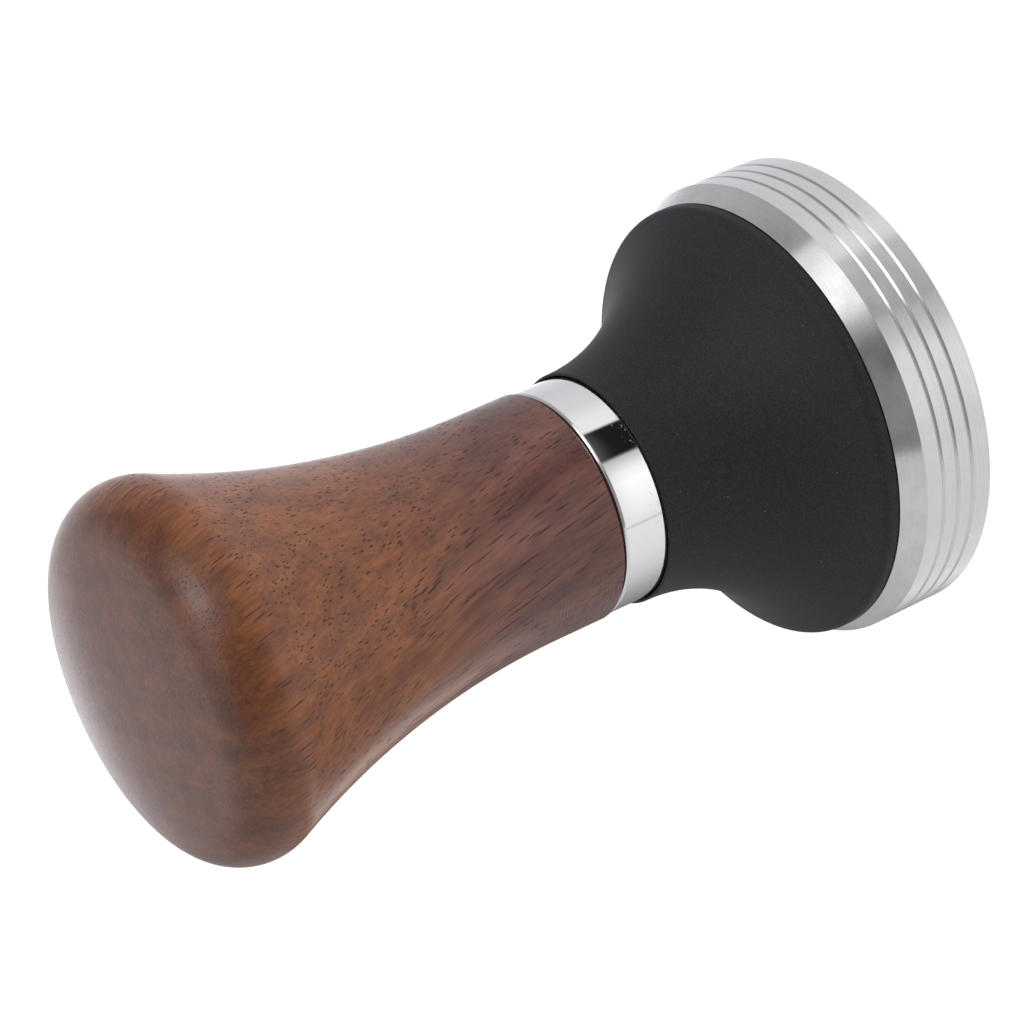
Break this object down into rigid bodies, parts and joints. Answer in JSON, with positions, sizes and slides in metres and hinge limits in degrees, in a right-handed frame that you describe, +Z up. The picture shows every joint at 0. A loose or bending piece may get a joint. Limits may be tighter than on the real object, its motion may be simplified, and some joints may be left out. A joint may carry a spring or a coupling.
{
  "type": "espresso tamper",
  "caption": "Calibrated espresso tamper: grooved steel base, flared black housing, chromed sliding sleeve and a flared wooden handle on a spring.",
  "frame": {"origin": "centre of the flat tamping face, with the tamper standing on it", "axes": "+Z up the tamper's axis from the base to the handle's crown; X and Y are any two directions across it, because the outside is round"},
  "size_m": [0.058, 0.058, 0.1039],
  "materials": {
    "turned_steel": "satin turned stainless steel, bright edges and grooves",
    "black_coat": "matt black coated cast aluminium",
    "chrome_sleeve": "polished chrome plate",
    "walnut": "oiled satin black walnut, grain along the handle",
    "plain_steel": "zinc-plated steel",
    "spring_wire": "drawn spring wire",
    "brass_insert": "turned brass",
    "white_acetal": "natural acetal",
    "black_rubber": "matt black nitrile rubber"
  },
  "bodies": {
    "base_unit": {"tamping_base": "turned_steel", "housing_gasket": "black_rubber", "housing": "black_coat", "guide_ring": "white_acetal", "lock_washer": "plain_steel", "guide_post": "plain_steel", "spring_seat": "plain_steel", "main_spring": "spring_wire", "bump_ring": "black_rubber", "damper_ring": "black_rubber", "stop_washer": "plain_steel", "stop_screw": "plain_steel"},
    "spring_cap": {"thrust_washer": "plain_steel", "slip_washer": "white_acetal"},
    "handle_unit": {"plunger_sleeve": "chrome_sleeve", "post_bush": "white_acetal", "thread_insert": "brass_insert", "handle_ring": "black_rubber", "wooden_handle": "walnut"}
  },
  "joints": [
    {"name": "handle_press", "type": "slide", "parent": "base_unit", "child": "spring_cap", "axis": [0, 0, 1], "range_m": [-0.0055, 0], "stiffness_N_per_m": 9640, "springref_m": 0.0083, "deforming": ["main_spring"]},
    {"name": "handle_spin", "type": "hinge", "parent": "spring_cap", "child": "handle_unit", "pos_m": [0, 0, 0.037], "axis": [0, 0, 1], "continuous": true}
  ]
}
